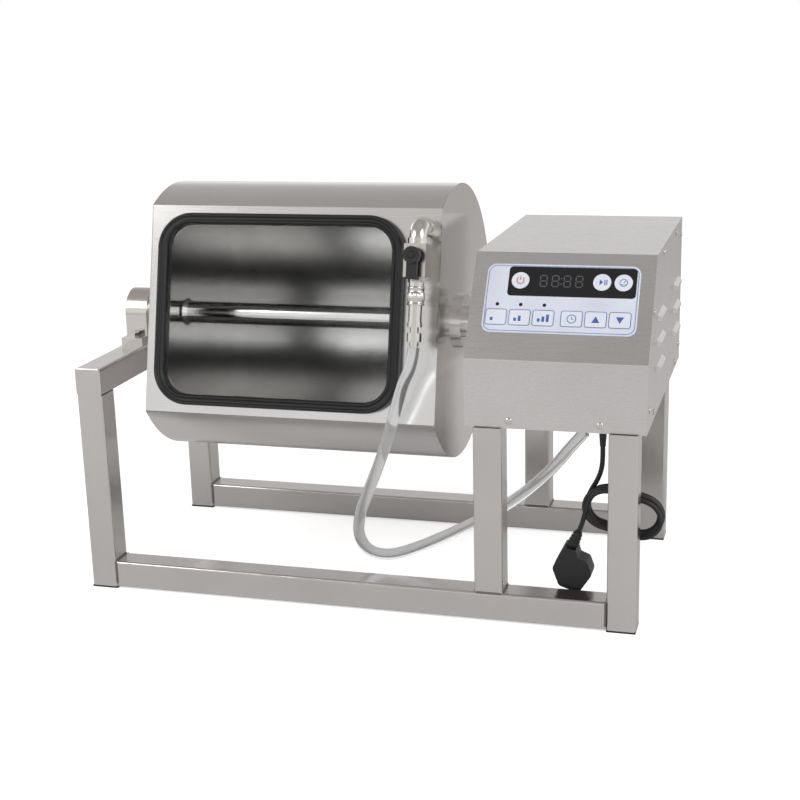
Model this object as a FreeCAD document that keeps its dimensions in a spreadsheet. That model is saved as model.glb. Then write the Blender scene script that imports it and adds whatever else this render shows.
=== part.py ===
import FreeCAD, Part
import math
import os
import re
import Sketcher
from FreeCAD import Placement, Rotation, Vector

# Bench-top vacuum tumbler for marinating meat: a D-shaped stainless drum turns on a
# through shaft between a welded square-tube portal and a control box on legs.
# Machine coordinates run from the front left foot: X to the right, Y to the back and
# Z up from the leg ends. place() moves them so that the origin is at the centre of
# the machine's box, on the floor.

DOC = FreeCAD.newDocument("tumbler")
SHEET = DOC.addObject("Spreadsheet::Sheet", "sizes")

SIZES = {
    # welded frame of square tube
    "tube_w": 30, "tube_wall": 1.5, "tube_round": 2.5,
    "frame_long": 610, "frame_deep": 306, "portal_high": 252,
    "mid_leg_x": 442, "leg_top": 209,
    "cap_thick": 2, "cap_plug": 10, "cap_play": 0.3,
    # control box of bent and flat sheet
    "box_x": 433, "box_wide": 184.5, "box_front": 3.5, "box_deep": 332.5,
    "box_high": 168, "lower_high": 71, "slope_run": 67.5,
    "sheet_t": 1.2, "bend_round": 2.5,
    "louvre_long": 54, "louvre_high": 13, "louvre_out": 4.5, "louvre_wall": 1,
    "louvre_pitch": 26.5, "louvre_front": 77, "louvre_gap": 112, "louvre_rise": 45.5,
    "screw_r": 3.6, "screw_high": 1.8,
    # drum, its shaft and its lid
    "drum_x": 67, "drum_long": 328, "drum_r": 151, "chord": 100.5, "tilt": 14.2,
    "axis_y": 153, "axis_z": 285, "shell_t": 1.5,
    "mouth_wide": 252.5, "mouth_high": 184, "mouth_round": 26, "mouth_x": 25,
    "shaft_r": 12.5, "journal_r": 10, "run_play": 0.05, "journal_end": 4,
    "hub_r": 30, "hub_t": 6, "hub_boss_r": 18, "hub_boss": 10, "weld_r": 16, "weld_t": 5,
    "rim_wide": 12, "rim_t": 12, "rim_gap": 0.3, "ridge_high": 1.5, "ridge_wide": 2.5,
    "pane_t": 6, "pane_bite": 6, "pane_play": 0.2,
    # valve and quick coupler on the drum face
    "valve_x": 381, "valve_off": 42, "foot_up": 91, "elbow_r": 9, "elbow_bend": 13,
    "collar_r": 10.5, "collar_t": 8, "socket_down": 72, "valve_w": 23,
    "lever_r": 8.6, "lever_t": 7, "lever_long": 24, "lever_w": 11, "stem_r": 4,
    "lever_up": 59.5, "lever_off": 60, "lever_gap": 0.3, "nut_t": 5, "nut_r": 9.2, "valve_low": 38,
    "sleeve_r": 9, "sleeve_long": 19, "sleeve_travel": 4, "plug_r": 7.6, "plug_long": 22,
    "barb_r": 5.2, "barb_long": 20, "clamp_w": 9, "clamp_t": 1,
    # hose
    "hose_r": 6.2,
    # keypad on the sloping panel
    "pad_wide": 155.4, "pad_high": 75, "pad_round": 9, "pad_up": 29.5, "pad_t": 1.1,
    "lens_wide": 129.5, "lens_high": 32.5, "lens_round": 4, "lens_up": 69.5, "lens_x": 37,
    "key_wide": 21.6, "key_high": 17, "key_round": 2.5, "key_up": 46, "key_t": 0.75,
    "key_lift": 0.45, "key_play": 0.3, "key_travel": 0.35, "key_pitch": 24,
    "speed_x": 28.4, "timer_x": 105, "round_r": 9, "round_up": 86.5,
    "power_x": 49.3, "start_x": 132, "vacuum_x": 153.4,
    "lamp_r": 1.9, "lamp_up": 60, "digits_wide": 54, "digits_high": 19, "digits_x": 91,
    "digits_t": 8, "board_t": 1.6, "board_wide": 150, "board_high": 70, "post_r": 3,
    # bearings
    "block_long": 84, "block_wide": 26, "block_foot": 9, "block_r": 27,
    "insert_r": 20, "bolt_r": 4, "bolt_head": 6.5, "bolt_high": 5.3, "block_bolts": 68,
    "flange_r": 42.5, "flange_t": 8, "flange_boss": 18, "flange_boss_r": 27, "flange_bolts": 34.5,
    # drive, pump and electrics inside the box
    "gear_long": 56, "gear_deep": 84, "gear_high": 92, "motor_r": 38, "motor_long": 112,
    "motor_cap": 12, "pump_wide": 58, "pump_deep": 74, "pump_high": 66, "pump_x": 112,
    "pump_y": 96, "pump_motor_r": 27, "pump_motor_long": 84,
    "supply_wide": 52, "supply_deep": 98, "supply_high": 34, "supply_x": 118, "supply_y": 226,
    "port_x": 123, "port_y": 76, "port_r": 5.2, "port_long": 17, "port_nut_r": 9, "port_nut_t": 5,
    "port_drop": 4, "port_lean": 41,
    # mains lead
    "cord_r": 2.6, "gland_x": 134.5, "gland_y": 48.5, "gland_r": 9, "gland_t": 6,
    "relief_r": 4.6, "relief_long": 22,
    "hank_x": 590, "hank_y": 52, "hank_z": 112, "hank_long": 86, "hank_high": 48, "hank_band": 15,
    "hank_deep": 28, "hank_lean": 12, "tie_wide": 3, "tie_t": 1.2,
    "plug_x": 538, "plug_y": 46, "plug_z": 50, "plug_deep": 24, "plug_relief_r": 6, "plug_relief": 20,
    "plug_lean": 23,
}
for row, (alias, size) in enumerate(SIZES.items(), 1):
    SHEET.set("A%d" % row, str(size))
    SHEET.setAlias("A%d" % row, alias)
DOC.recompute()

# derived sizes, as text that goes into the expressions
SLOPE = "atan2(box_high - lower_high; slope_run)"
HALF_FACE = "sqrt(drum_r ^ 2 - chord ^ 2)"
NODES = []


def ex(text):
    """The text with each size name pointed at the sheet."""
    return re.sub(r"[a-z_]+\b(?!\()", lambda m: "sizes." + m.group() if m.group() in SIZES else m.group(), str(text))


def val(text):
    """The value of an expression now, as a float."""
    return float(getattr(SHEET.evalExpression(ex(text)), "Value", SHEET.evalExpression(ex(text))))


def bind(item, **sizes):
    for prop, text in sizes.items():
        item.setExpression(prop, ex(text))
    return item


def move(item, x="0", y="0", z="0"):
    """Put a building block at a place inside its own sub-part."""
    for axis, text in zip("xyz", (x, y, z)):
        item.setExpression("Placement.Base." + axis, ex(text))
    return item


def turn(item, axis, angle):
    """Turn a building block about its own origin; the angle is an expression."""
    item.Placement = Placement(Vector(0, 0, 0), Rotation(Vector(*axis), val(angle)))
    item.setExpression("Placement.Rotation.Angle", ex(angle))
    return item


def node(item, label, x="0", y="0", z="0", axis=None, angle=None):
    """Name a finished sub-part and place it in machine coordinates."""
    if axis:
        turn(item, axis, angle)
    move(item, "(%s) - (box_x + box_wide + louvre_out) / 2" % x,
         "(%s) - (box_front + box_deep + screw_high) / 2" % y, "(%s) + cap_thick" % z)
    item.Label = label
    NODES.append(item)
    return item


def box(long, wide, high, x="0", y="0", z="0"):
    item = bind(DOC.addObject("Part::Box", "block"), Length=long, Width=wide, Height=high)
    return move(item, x, y, z)


def rod(radius, length, x="0", y="0", z="0", along="z"):
    """A cylinder along +X, -Y (out of the drum face), +Y or +Z."""
    item = bind(DOC.addObject("Part::Cylinder", "rod"), Radius=radius, Height=length)
    if along != "z":
        turn(item, {"x": (0, 1, 0), "-y": (1, 0, 0), "y": (1, 0, 0)}[along], {"y": "-90"}.get(along, "90"))
    return move(item, x, y, z)


def cone(low, high, length, x="0", y="0", z="0", along="z"):
    item = bind(DOC.addObject("Part::Cone", "cone"), Radius1=low, Radius2=high, Height=length)
    if along != "z":
        turn(item, {"x": (0, 1, 0), "-y": (1, 0, 0), "y": (1, 0, 0)}[along], {"y": "-90"}.get(along, "90"))
    return move(item, x, y, z)


def hexagon(radius, length, x="0", y="0", z="0", along="z"):
    """A hexagonal bar; the radius is across its corners."""
    item = bind(DOC.addObject("Part::Prism", "hexagon"), Circumradius=radius, Height=length)
    item.Polygon = 6
    if along != "z":
        turn(item, {"x": (0, 1, 0), "-y": (1, 0, 0), "y": (1, 0, 0)}[along], {"y": "-90"}.get(along, "90"))
    return move(item, x, y, z)


def fuse(*items):
    item = DOC.addObject("Part::MultiFuse", "joined")
    item.Shapes = list(items)
    return item


def cut(base, *tools):
    item = DOC.addObject("Part::Cut", "cut")
    item.Base = base
    item.Tool = tools[0] if len(tools) == 1 else fuse(*tools)
    return item


def group(*items):
    """Separate solids that share one node."""
    item = DOC.addObject("Part::Compound", "set")
    item.Links = list(items)
    return item


def body(name):
    return DOC.addObject("PartDesign::Body", "body_" + name)


def sketch(owner, plane, offset="0"):
    item = owner.newObject("Sketcher::SketchObject", "sketch")
    item.AttachmentSupport = [(next(f for f in owner.Origin.OriginFeatures if f.Role == plane), "")]
    item.MapMode = "FlatFace"
    item.setExpression("AttachmentOffset.Base.z", ex(offset))
    return item


def pin_point(outline, geo, pos, x, y):
    """Hold a sketch point at x, y measured from the sketch's origin."""
    for kind, text in (("DistanceX", x), ("DistanceY", y)):
        held = outline.addConstraint(Sketcher.Constraint(kind, -1, 1, geo, pos, val(text)))
        outline.setExpression("Constraints[%d]" % held, ex(text))


def loop(outline, corners):
    """A closed loop of straight runs; each corner is (x, y, radius of its arc)."""
    points = [Vector(val(x), val(y), 0) for x, y, r in corners]
    count = len(points)
    starts, ends, lines, arcs = [], [], [], []
    for i, (x, y, r) in enumerate(corners):
        back = (points[i - 1] - points[i]).normalize()
        ahead = (points[(i + 1) % count] - points[i]).normalize()
        reach = val(r) / math.tan(back.getAngle(ahead) / 2) if r != "0" else 0
        ends.append(points[i] + back * reach)
        starts.append(points[i] + ahead * reach)
    for i in range(count):
        lines.append(outline.addGeometry(Part.LineSegment(starts[i], ends[(i + 1) % count])))
    for i, (x, y, r) in enumerate(corners):
        before, after = lines[i - 1], lines[i]
        if r == "0":
            outline.addConstraint(Sketcher.Constraint("Coincident", before, 2, after, 1))
            pin_point(outline, after, 1, x, y)
            continue
        back = (ends[i] - points[i]).normalize()
        ahead = (starts[i] - points[i]).normalize()
        mid = (back + ahead).normalize()
        centre = points[i] + mid * (val(r) / math.sin(back.getAngle(ahead) / 2))
        arc = Part.Arc(ends[i], centre - mid * val(r), starts[i])
        arcs.append(outline.addGeometry(arc))
        at_end = outline.getPoint(arcs[-1], 1).distanceToPoint(ends[i]) < 1e-6
        outline.addConstraint(Sketcher.Constraint("Tangent", before, 2, arcs[-1], 1 if at_end else 2))
        outline.addConstraint(Sketcher.Constraint("Tangent", after, 1, arcs[-1], 2 if at_end else 1))
        held = outline.addConstraint(Sketcher.Constraint("Radius", arcs[-1], val(r)))
        outline.setExpression("Constraints[%d]" % held, ex(r))
        mark = outline.addGeometry(Part.Point(points[i]), True)
        outline.addConstraint(Sketcher.Constraint("PointOnObject", mark, 1, before))
        outline.addConstraint(Sketcher.Constraint("PointOnObject", mark, 1, after))
        pin_point(outline, mark, 1, x, y)


def rectangle(outline, wide, high, radius="0", x="0", y="0"):
    """A rectangle centred on x, y, with rounded corners if a radius is given."""
    loop(outline, [("(%s) + (%s) * %g" % (x, wide, sx / 2), "(%s) + (%s) * %g" % (y, high, sy / 2), radius)
                   for sx, sy in ((-1, -1), (1, -1), (1, 1), (-1, 1))])


def circle(outline, radius, x="0", y="0"):
    ring = outline.addGeometry(Part.Circle(Vector(val(x), val(y), 0), Vector(0, 0, 1), val(radius)))
    pin_point(outline, ring, 3, x, y)
    held = outline.addConstraint(Sketcher.Constraint("Radius", ring, val(radius)))
    outline.setExpression("Constraints[%d]" % held, ex(radius))


def pad(owner, outline, length):
    item = owner.newObject("PartDesign::Pad", "pad")
    item.Profile = outline
    item.setExpression("Length", ex(length))
    owner.Tip = item
    outline.Visibility = False
    return item


def pocket(owner, outline, length):
    item = owner.newObject("PartDesign::Pocket", "pocket")
    item.Profile = outline
    item.Midplane = True
    item.setExpression("Length", ex(length))
    owner.Tip = item
    return item


# --- welded frame ------------------------------------------------------------------
# Each tube is its own piece: a rounded square outline, hollow, padded to its length.
def tube(label, length, x, y, z, along="z"):
    owner = body(label)
    outline = sketch(owner, {"z": "XY_Plane", "x": "YZ_Plane", "y": "XZ_Plane"}[along])
    rectangle(outline, "tube_w", "tube_w", "tube_round", "tube_w / 2", "tube_w / 2")
    rectangle(outline, "tube_w - 2 * tube_wall", "tube_w - 2 * tube_wall", "0", "tube_w / 2", "tube_w / 2")
    made = pad(owner, outline, length)
    if along == "y":
        made.Reversed = True
    return node(owner, label, x, y, z)


BACK_Y = "frame_deep - tube_w"
RIGHT_X = "frame_long - tube_w"
for side, y in (("front", "0"), ("back", BACK_Y)):
    tube(side + "_left_leg", "portal_high - tube_w", "0", y, "0")
    tube(side + "_mid_leg", "leg_top - tube_w", "mid_leg_x", y, "tube_w")
    tube(side + "_right_leg", "leg_top", RIGHT_X, y, "0")
    tube(side + "_rail", "frame_long - 2 * tube_w", "tube_w", y, "0", "x")
tube("left_top_beam", "frame_deep", "0", "0", "portal_high - tube_w", "y")

CAP_IN = "tube_wall + cap_play"
node(group(*[fuse(box("tube_w", "tube_w", "cap_thick", x, y, "-cap_thick"),
                  box("tube_w - 2 * (%s)" % CAP_IN, "tube_w - 2 * (%s)" % CAP_IN, "cap_plug",
                      "%s + %s" % (x, CAP_IN), "%s + %s" % (y, CAP_IN)))
             for x in ("0", RIGHT_X) for y in ("0", BACK_Y)]), "foot_caps")

# --- control box ---------------------------------------------------------------------
# Front, slope and top are one bent sheet between two side panels, over a flat base.
BOX = ("box_x", "box_front", "leg_top")
INNER = "box_wide - 2 * sheet_t"


def side_outline(outline):
    loop(outline, [("0", "0", "0"), ("box_deep", "0", "0"), ("box_deep", "box_high", "0"),
                   ("slope_run", "box_high", "bend_round"), ("0", "lower_high", "bend_round")])


owner = body("left_panel")
outline = sketch(owner, "YZ_Plane")
side_outline(outline)
circle(outline, "flange_boss_r - 6", "axis_y - box_front", "axis_z - leg_top")
pad(owner, outline, "sheet_t")
node(owner, "left_side_panel", *BOX)

owner = body("bent_cover")
outline = sketch(owner, "YZ_Plane")
loop(outline, [("0", "0", "0"), ("sheet_t", "0", "0"),
               ("sheet_t", "lower_high - sheet_t * tan((90 deg - %s) / 2)" % SLOPE, "bend_round - sheet_t"),
               ("slope_run + sheet_t * tan((%s) / 2)" % SLOPE, "box_high - sheet_t", "bend_round - sheet_t"),
               ("box_deep", "box_high - sheet_t", "0"), ("box_deep", "box_high", "0"),
               ("slope_run", "box_high", "bend_round"), ("0", "lower_high", "bend_round")])
pad(owner, outline, INNER)
move(owner, "sheet_t")
window = turn(box("digits_wide + 2 * key_play", "digits_high + 2 * key_play", "4 * sheet_t"), (1, 0, 0), SLOPE)
move(window, "digits_x - digits_wide / 2 - key_play",
     "(round_up - digits_high / 2 - key_play) * cos(%s) + 2 * sheet_t * sin(%s)" % (SLOPE, SLOPE),
     "lower_high + (round_up - digits_high / 2 - key_play) * sin(%s) - 2 * sheet_t * cos(%s)" % (SLOPE, SLOPE))
node(cut(owner, window), "bent_cover", *BOX)

node(cut(box(INNER, "box_deep - 2 * sheet_t", "sheet_t", "sheet_t", "sheet_t"),
         rod("port_r", "3 * sheet_t", "port_x", "port_y", "-sheet_t"),
         rod("relief_r", "3 * sheet_t", "gland_x", "gland_y", "-sheet_t")), "base_tray", *BOX)
node(group(box(INNER, "sheet_t", "box_high - sheet_t", "sheet_t", "box_deep - sheet_t")), "back_panel", *BOX)

# The right panel carries two columns of pressed louvres, open along their lower edge.
def hood(inset, behind, y, z):
    """A hood that slopes in at both ends and at its top, smaller by the inset."""
    item = bind(DOC.addObject("Part::Wedge", "hood"), Xmin="-louvre_long / 2 + " + inset,
                Xmax="louvre_long / 2 - " + inset, X2min="-louvre_long / 2 + louvre_out + " + inset,
                X2max="louvre_long / 2 - louvre_out - " + inset, Ymin="-(%s)" % behind,
                Ymax="louvre_out - " + inset, Zmin="-(%s)" % inset, Z2min="-(%s)" % inset,
                Zmax="louvre_high / 2 - " + inset, Z2max="louvre_high / 4 - " + inset)
    item.Placement = Placement(Vector(), Rotation(Vector(0, 0, 1), -90))
    return move(item, "sheet_t", y, z)


owner = body("right_panel")
outline = sketch(owner, "YZ_Plane")
side_outline(outline)
pad(owner, outline, "sheet_t")
hoods, hollows = [], []
for column in (0, 1):
    for row in (0, 1, 2):
        y = "louvre_front + louvre_long / 2 + %d * (louvre_long + louvre_gap)" % column
        z = "louvre_rise + %d * louvre_pitch" % row
        hoods.append(hood("0", "0", y, z))
        hollows.append(hood("louvre_wall", "sheet_t + 1", y, z))
node(cut(fuse(owner, *hoods), *hollows), "right_side_panel", "box_x + box_wide - sheet_t", *BOX[1:])

# Round-headed screws hold the panels: two low on the front, eight on the right, six behind.
FRONT_SCREWS = [("46", "8"), ("138", "8")]
SIDE_SCREWS = [("131", "160"), ("262", "160"), ("318", "150"), ("46", "114"), ("18", "21"), ("61", "8"),
               ("276", "8"), ("318", "20")]
BACK_SCREWS = [(x, z) for x in ("12", "box_wide - 12") for z in ("12", "box_high / 2", "box_high - 12")]


def screw(x, y, z, along):
    return rod("screw_r", "screw_high", x, y, z, along)


node(group(*[screw(x, "0", z, "-y") for x, z in FRONT_SCREWS], *[screw("box_wide", y, z, "x") for y, z in SIDE_SCREWS],
           *[screw(x, "box_deep", z, "y") for x, z in BACK_SCREWS]), "panel_screws", *BOX)

# --- keypad on the slope -------------------------------------------------------------
# Built flat: X along the box, Y up the slope, Z out of it, then turned up to the slope.
def on_slope(item, label):
    return node(item, label, "box_x", "box_front", "leg_top + lower_high", (1, 0, 0), SLOPE)


KEYS = [("power_key", "power_x"), ("start_stop_key", "start_x"), ("vacuum_key", "vacuum_x")]
SQUARE = [("low_speed_key", "speed_x", 0), ("mid_speed_key", "speed_x", 1), ("high_speed_key", "speed_x", 2),
          ("timer_key", "timer_x", 0), ("up_key", "timer_x", 1), ("down_key", "timer_x", 2)]
KEY_X = dict(KEYS, **{name: "%s + %d * key_pitch" % (x, i) for name, x, i in SQUARE})

owner = body("overlay")
outline = sketch(owner, "XY_Plane")
rectangle(outline, "pad_wide", "pad_high", "pad_round", "box_wide / 2", "pad_up + pad_high / 2")
rectangle(outline, "lens_wide", "lens_high", "lens_round", "lens_x + lens_wide / 2", "lens_up + lens_high / 2")
for name, start, i in SQUARE:
    rectangle(outline, "key_wide + 2 * key_play", "key_high + 2 * key_play", "key_round + key_play",
              KEY_X[name], "key_up")
for i in range(3):
    circle(outline, "lamp_r", "speed_x + %d * key_pitch" % i, "lamp_up")
pad(owner, outline, "pad_t")
on_slope(owner, "keypad_overlay")

owner = body("lens")
outline = sketch(owner, "XY_Plane")
rectangle(outline, "lens_wide", "lens_high", "lens_round", "lens_x + lens_wide / 2", "lens_up + lens_high / 2")
for name, x in KEYS:
    circle(outline, "round_r + key_play", x, "round_up")
pad(owner, outline, "pad_t")
on_slope(owner, "display_lens")

for name, x in KEY_X.items():
    owner = body(name)
    outline = sketch(owner, "XY_Plane", "key_lift")
    if (name, x) in KEYS:
        circle(outline, "round_r", x, "round_up")
    else:
        rectangle(outline, "key_wide", "key_high", "key_round", x, "key_up")
    pad(owner, outline, "key_t")
    on_slope(owner, name)

on_slope(group(box("digits_wide", "digits_high", "digits_t", "digits_x - digits_wide / 2",
                   "round_up - digits_high / 2", "-digits_t"),
               *[rod("lamp_r", "pad_t", "speed_x + %d * key_pitch" % i, "lamp_up") for i in range(3)]),
         "display_and_lamps")
on_slope(fuse(box("board_wide", "board_high", "board_t", "(box_wide - board_wide) / 2", "pad_up + 2",
                  "-digits_t - board_t"),
              *[rod("post_r", "digits_t - sheet_t", "box_wide / 2 + %d * (board_wide / 2 - 6)" % side, up,
                    "-digits_t") for side in (-1, 1) for up in ("pad_up + 8", "pad_up + board_high - 4")]),
         "control_board")

# --- drum ----------------------------------------------------------------------------
# Built upright about its own shaft: X along the shaft, -Y out of the flat face, Z up
# the face; on_drum() then leans the face back by the tilt.
def on_drum(item, label):
    return node(item, label, "drum_x", "axis_y", "axis_z", (1, 0, 0), "-tilt")


def arc_outline(outline, radius, line_x):
    """An arc about the origin behind a chord at -line_x; returns its number."""
    half = math.acos(-val(line_x) / val(radius))
    arc = outline.addGeometry(Part.ArcOfCircle(Part.Circle(Vector(), Vector(0, 0, 1), val(radius)), -half, half))
    outline.addConstraint(Sketcher.Constraint("Coincident", arc, 3, -1, 1))
    held = outline.addConstraint(Sketcher.Constraint("Radius", arc, val(radius)))
    outline.setExpression("Constraints[%d]" % held, ex(radius))
    for end in (1, 2):
        held = outline.addConstraint(Sketcher.Constraint("DistanceX", -1, 1, arc, end, -val(line_x)))
        outline.setExpression("Constraints[%d]" % held, ex("-(%s)" % line_x))
    return arc


def join_ends(outline, geo_a, end_a, geo_b, end_b):
    line = outline.addGeometry(Part.LineSegment(outline.getPoint(geo_a, end_a), outline.getPoint(geo_b, end_b)))
    outline.addConstraint(Sketcher.Constraint("Coincident", line, 1, geo_a, end_a))
    outline.addConstraint(Sketcher.Constraint("Coincident", line, 2, geo_b, end_b))


owner = body("shell")
outline = sketch(owner, "YZ_Plane", "shell_t")
outer = arc_outline(outline, "drum_r", "chord - shell_t")
inner = arc_outline(outline, "drum_r - shell_t", "chord - shell_t")
join_ends(outline, outer, 1, inner, 1)
join_ends(outline, outer, 2, inner, 2)
pad(owner, outline, "drum_long - 2 * shell_t")
on_drum(owner, "drum_shell")

for label, offset in (("drum_left_end", "0"), ("drum_right_end", "drum_long - shell_t")):
    owner = body(label)
    outline = sketch(owner, "YZ_Plane", offset)
    rim = arc_outline(outline, "drum_r", "chord")
    join_ends(outline, rim, 1, rim, 2)
    circle(outline, "shaft_r")
    pad(owner, outline, "shell_t")
    on_drum(owner, label)

MOUTH_MID = "mouth_x + mouth_wide / 2"
owner = body("face")
outline = sketch(owner, "YZ_Plane", "shell_t")
edge = "sqrt(drum_r ^ 2 - (chord - shell_t) ^ 2)"
loop(outline, [("-chord", "-" + HALF_FACE, "0"), ("shell_t - chord", "-" + edge, "0"),
               ("shell_t - chord", edge, "0"), ("-chord", HALF_FACE, "0")])
pad(owner, outline, "drum_long - 2 * shell_t")
outline = sketch(owner, "XZ_Plane", "chord")
rectangle(outline, "mouth_wide", "mouth_high", "mouth_round", MOUTH_MID, "0")
circle(outline, "elbow_r - 3", "valve_x - drum_x", "foot_up")
pocket(owner, outline, "4 * shell_t")
on_drum(owner, "drum_face")

# The through shaft steps down to a journal at each end.
owner = body("shaft")
outline = sketch(owner, "XZ_Plane")
SHAFT = [("journal_end - drum_x", "0"), ("journal_end - drum_x", "journal_r"),
         ("-hub_boss - hub_t", "journal_r"), ("-hub_boss - hub_t", "shaft_r"),
         ("drum_long + hub_boss + hub_t", "shaft_r"), ("drum_long + hub_boss + hub_t", "journal_r"),
         ("box_x - drum_x + sheet_t + gear_long + 4", "journal_r"),
         ("box_x - drum_x + sheet_t + gear_long + 4", "0")]
loop(outline, [(x, y, "0") for x, y in SHAFT])
spin = owner.newObject("PartDesign::Revolution", "turned")
spin.Profile = outline
spin.ReferenceAxis = (next(f for f in owner.Origin.OriginFeatures if f.Role == "X_Axis"), [""])
owner.Tip = spin
on_drum(owner, "centre_shaft")

# Welded hubs: a flange with a boss outside each end, and a collar inside the left end.
def hub(low, flange, boss):
    return cut(fuse(rod("hub_r", "hub_t", low + flange, along="x"), rod("hub_boss_r", "hub_boss", low + boss, along="x")),
               rod("shaft_r", "hub_boss + hub_t + 2", low + " - 1", along="x"))


on_drum(group(hub("-hub_boss - hub_t", " + hub_boss", ""), hub("drum_long", "", " + hub_t"),
              cut(cone("weld_r", "shaft_r + 0.5", "weld_t", "shell_t", along="x"),
                  rod("shaft_r", "weld_t + 2", "shell_t - 1", along="x"))), "shaft_hubs")

# Lid: a clear pane held in a ribbed rubber rim that seals on the face.
def ring(owner, offset, length, outer_more, inner_more):
    """A band round the mouth, between two outlines that are each larger than it."""
    outline = sketch(owner, "XZ_Plane", offset)
    for more in (outer_more, inner_more):
        rectangle(outline, "mouth_wide + 2 * (%s)" % more, "mouth_high + 2 * (%s)" % more,
                  "mouth_round + (%s)" % more, MOUTH_MID, "0")
    return pad(owner, outline, length)


PANE_LOW = "(rim_t - pane_t) / 2 - pane_play"
owner = body("rim")
ring(owner, "chord + rim_gap", PANE_LOW, "rim_wide", "0")
ring(owner, "chord + rim_gap + " + PANE_LOW, "pane_t + 2 * pane_play", "rim_wide", "pane_bite")
ring(owner, "chord + rim_gap + pane_t + 2 * pane_play + " + PANE_LOW, PANE_LOW, "rim_wide", "0")
for start in ("1.5", "rim_wide - 1.5 - ridge_wide"):
    ring(owner, "chord + rim_gap + rim_t", "ridge_high", "%s + ridge_wide" % start, start)
on_drum(owner, "lid_rim")

owner = body("pane")
outline = sketch(owner, "XZ_Plane", "chord + rim_gap + (rim_t - pane_t) / 2")
more = "pane_bite - pane_play"
rectangle(outline, "mouth_wide + 2 * (%s)" % more, "mouth_high + 2 * (%s)" % more, "mouth_round + " + more,
          MOUTH_MID, "0")
pad(owner, outline, "pane_t")
on_drum(owner, "lid_pane")

# --- valve and coupler on the face ----------------------------------------------------
VX = "valve_x - drum_x"
OUT = "-chord - valve_off"
BEND_OUT = "valve_off - elbow_bend"
bend = bind(DOC.addObject("Part::Torus", "bend"), Radius1="elbow_bend", Radius2="elbow_r")
bend.Angle3 = 90
bend.Placement = Placement(Vector(), Rotation(Vector(0, 0, 1), Vector(0, -1, 0), Vector(1, 0, 0), "ZXY"))
move(bend, VX, "-chord - (%s)" % BEND_OUT, "foot_up - elbow_bend")
on_drum(fuse(rod("elbow_r", BEND_OUT, VX, "-chord", "foot_up", "-y"),
             rod("collar_r", "collar_t", VX, "-chord - (%s) + collar_t" % BEND_OUT, "foot_up", "-y"), bend,
             rod("collar_r", "foot_up - elbow_bend - socket_down", VX, OUT, "socket_down")), "elbow")
on_drum(fuse(box("valve_w", "valve_w", "socket_down - valve_low", VX + " - valve_w / 2",
                 OUT + " - valve_w / 2", "valve_low"),
             rod("stem_r", "lever_off - valve_off - lever_gap", VX, OUT, "lever_up", "-y")), "valve_body")
on_drum(fuse(rod("lever_r", "lever_t", VX, "-chord - lever_off", "lever_up", "-y"),
             box("lever_w", "lever_t * 0.6", "lever_long", VX + " - lever_w / 2",
                 "-chord - lever_off - lever_t * 0.6", "lever_up - lever_long"),
             cone("stem_r", "stem_r * 0.7", "screw_high", VX, "-chord - lever_off - lever_t", "lever_up", "-y")),
        "valve_lever")

# Quick coupler: hex nut, sprung sleeve over the socket, then the plug with its barb.
SOCKET = "valve_low - nut_t - sleeve_long - sleeve_travel"
on_drum(fuse(hexagon("nut_r", "nut_t", VX, OUT, "valve_low - nut_t"),
             rod("plug_r", "sleeve_long + sleeve_travel", VX, OUT, SOCKET)), "coupler_socket")
on_drum(cut(rod("sleeve_r", "sleeve_long", VX, OUT, SOCKET),
            rod("plug_r + run_play", "sleeve_long + 2", VX, OUT, SOCKET + " - 1")), "coupler_sleeve")
BARB = SOCKET + " - plug_long"
on_drum(fuse(rod("plug_r * 0.9", "plug_long - 5", VX, OUT, BARB + " + 5"),
             rod("plug_r", "5", VX, OUT, BARB),
             rod("barb_r - 1", "barb_long", VX, OUT, BARB + " - barb_long"),
             rod("barb_r - 0.2", "2", VX, OUT, BARB + " - 18")),
        "coupler_plug")

# --- bearings --------------------------------------------------------------------------
# A pillow block stands on the beam and a round flange unit is bolted to the box wall.
def on_axis(item, label):
    return node(item, label, "0", "axis_y", "axis_z")


def insert(low, length):
    return cut(rod("insert_r", length, low, along="x"),
               rod("journal_r + run_play", length + " + 2", low + " - 1", along="x"))


def bolt(foot, y, z, along):
    """A hexagon head with a shank below it that ends on the surface it is fixed to."""
    head = {"z": ("tube_w / 2", y, z + " + " + foot), "x": ("box_x - %s - bolt_high" % foot, y, z)}[along]
    shank = {"z": ("tube_w / 2", y, z), "x": ("box_x - " + foot, y, z)}[along]
    return fuse(hexagon("bolt_head", "bolt_high", *head, along), rod("bolt_r", foot, *shank, along))


BEAM = "portal_high - axis_z"
MID = "tube_w / 2 - block_wide / 2"
BLOCK_BOLTS = [("%d * block_bolts / 2" % side, BEAM) for side in (-1, 1)]
FLANGE_BOLTS = [("%d * flange_bolts * sin(45)" % a, "%d * flange_bolts * sin(45)" % b)
                for a in (-1, 1) for b in (-1, 1)]
on_axis(cut(fuse(box("block_wide", "block_long", "block_foot", MID, "-block_long / 2", BEAM),
                 box("block_wide", "2 * block_r", "axis_z - portal_high", MID, "-block_r", BEAM),
                 rod("block_r", "block_wide", MID, along="x")),
            rod("insert_r", "block_wide + 2", MID + " - 1", along="x"),
            *[rod("bolt_r", "block_foot + 2", "tube_w / 2", y, z + " - 1") for y, z in BLOCK_BOLTS]), "pillow_block")
on_axis(cut(fuse(rod("flange_r", "flange_t", "box_x - flange_t", along="x"),
                 rod("flange_boss_r", "flange_boss", "box_x - flange_boss", along="x")),
            rod("insert_r", "flange_boss + 2", "box_x - flange_boss - 1", along="x"),
            *[rod("bolt_r", "flange_t + 2", "box_x - flange_t - 1", y, z, "x") for y, z in FLANGE_BOLTS]),
        "flange_bearing_housing")
on_axis(group(insert(MID + " - 2", "block_wide + 4"), insert("box_x - flange_boss - 2", "flange_boss + 2")),
        "bearing_inserts")
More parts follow.
